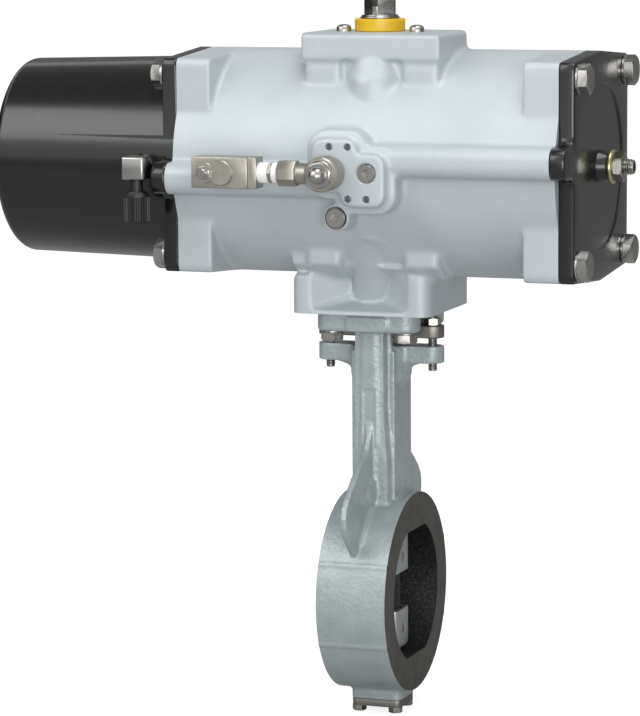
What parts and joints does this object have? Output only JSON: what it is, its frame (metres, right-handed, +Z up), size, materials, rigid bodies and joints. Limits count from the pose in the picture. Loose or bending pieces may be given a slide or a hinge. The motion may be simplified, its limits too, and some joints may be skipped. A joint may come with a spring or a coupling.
{
  "type": "pneumatic butterfly valve",
  "caption": "Wafer butterfly valve turned by a spring-return rack and pinion air actuator with a speed controller and a breather.",
  "frame": {"origin": "centre of the flow opening, where the pipe axis meets the stem axis", "axes": "+X along the pipe axis towards the open side of the body, under the plain end cover; +Z up the stem; -Y is the side with the air ports"},
  "size_m": [0.4097, 0.1899, 0.4596],
  "materials": {
    "silver_paint": "silver-grey paint on a rough casting",
    "blue_grey_paint": "silver blue-grey paint with a fine orange peel",
    "black_paint": "gloss black paint",
    "stainless_steel": "bare stainless steel",
    "stainless_cast": "cast stainless steel, machined hub faces",
    "grey_cast_steel": "dull brown-grey cast stainless steel",
    "nickel_plate": "satin nickel plate",
    "bare_aluminium": "anodised aluminium",
    "spring_steel": "coated spring steel",
    "bronze": "sintered bronze",
    "yellow_zinc": "yellow zinc plate",
    "yellow_plastic": "yellow acetal",
    "white_tape": "white sealing tape",
    "ptfe": "filled PTFE",
    "black_rubber": "black rubber",
    "black_plastic": "black moulded plastic"
  },
  "bodies": {
    "valve": {"valve_body": "silver_paint", "seat_ring": "ptfe", "seat_retainer": "stainless_steel", "retainer_screws": "stainless_steel", "upper_stem_bush": "bronze", "lower_stem_bush": "bronze", "stem_packing": "ptfe", "gland_follower": "stainless_steel", "gland_plate": "grey_cast_steel", "gland_studs": "stainless_steel", "gland_nuts": "stainless_steel", "bottom_cover": "grey_cast_steel", "bottom_gasket": "black_rubber", "bottom_cover_bolts": "stainless_steel", "yoke_bolts": "stainless_steel", "yoke_washers": "stainless_steel", "actuator_body": "blue_grey_paint", "lower_shaft_bush": "bronze", "upper_shaft_bush": "bronze", "thrust_ring": "yellow_plastic", "return_spring": "spring_steel", "spring_seat": "spring_steel", "spring_cover": "black_paint", "end_cover": "black_paint", "cover_seals": "black_rubber", "cover_bolts": "stainless_steel", "cover_washers": "stainless_steel", "stop_seal": "yellow_zinc", "stop_nut": "stainless_steel", "top_screws": "stainless_steel", "port_plug": "stainless_steel", "channel_plug": "stainless_steel", "banjo_fitting": "nickel_plate", "banjo_bolt": "stainless_steel", "nipple": "stainless_steel", "thread_tape": "white_tape", "speed_controller": "nickel_plate", "needle_nut": "stainless_steel", "elbow": "nickel_plate", "silencer": "black_plastic"},
    "drive_train": {"stem": "stainless_steel", "disc": "stainless_cast", "disc_pins": "stainless_steel", "output_shaft": "stainless_steel", "shaft_washer": "stainless_steel", "shaft_clip": "stainless_steel"},
    "left_piston": {"left_piston": "bare_aluminium", "left_piston_seal": "black_rubber", "left_piston_band": "ptfe"},
    "right_piston": {"right_piston": "bare_aluminium", "right_piston_seal": "black_rubber", "right_piston_band": "ptfe"},
    "stop_screw": {"stop_bolt": "stainless_steel"},
    "needle": {"needle_screw": "stainless_steel"}
  },
  "joints": [
    {"name": "stem_turn", "type": "hinge", "parent": "valve", "child": "drive_train", "pos_m": [0, 0, 0], "axis": [0, 0, 1], "range_deg": [0, 90], "stiffness_Nm_per_rad": 0.4},
    {"name": "left_piston_slide", "type": "slide", "parent": "valve", "child": "left_piston", "axis": [-1, 0, 0], "range_m": [0, 0.0316], "deforming": ["return_spring"]},
    {"name": "right_piston_slide", "type": "slide", "parent": "valve", "child": "right_piston", "axis": [1, 0, 0], "range_m": [0, 0.0316]},
    {"name": "stop_bolt_adjust", "type": "slide", "parent": "valve", "child": "stop_screw", "axis": [1, 0, 0], "range_m": [0, 0.006]},
    {"name": "needle_turn", "type": "hinge", "parent": "valve", "child": "needle", "pos_m": [-0.0774, -0.11, 0.278], "axis": [0, -1, 0], "range_deg": [0, 1350]}
  ],
  "couplings": [
    {"joint": "left_piston_slide", "follows": "stem_turn", "m_per_rad": 0.02},
    {"joint": "right_piston_slide", "follows": "stem_turn", "m_per_rad": 0.02}
  ]
}
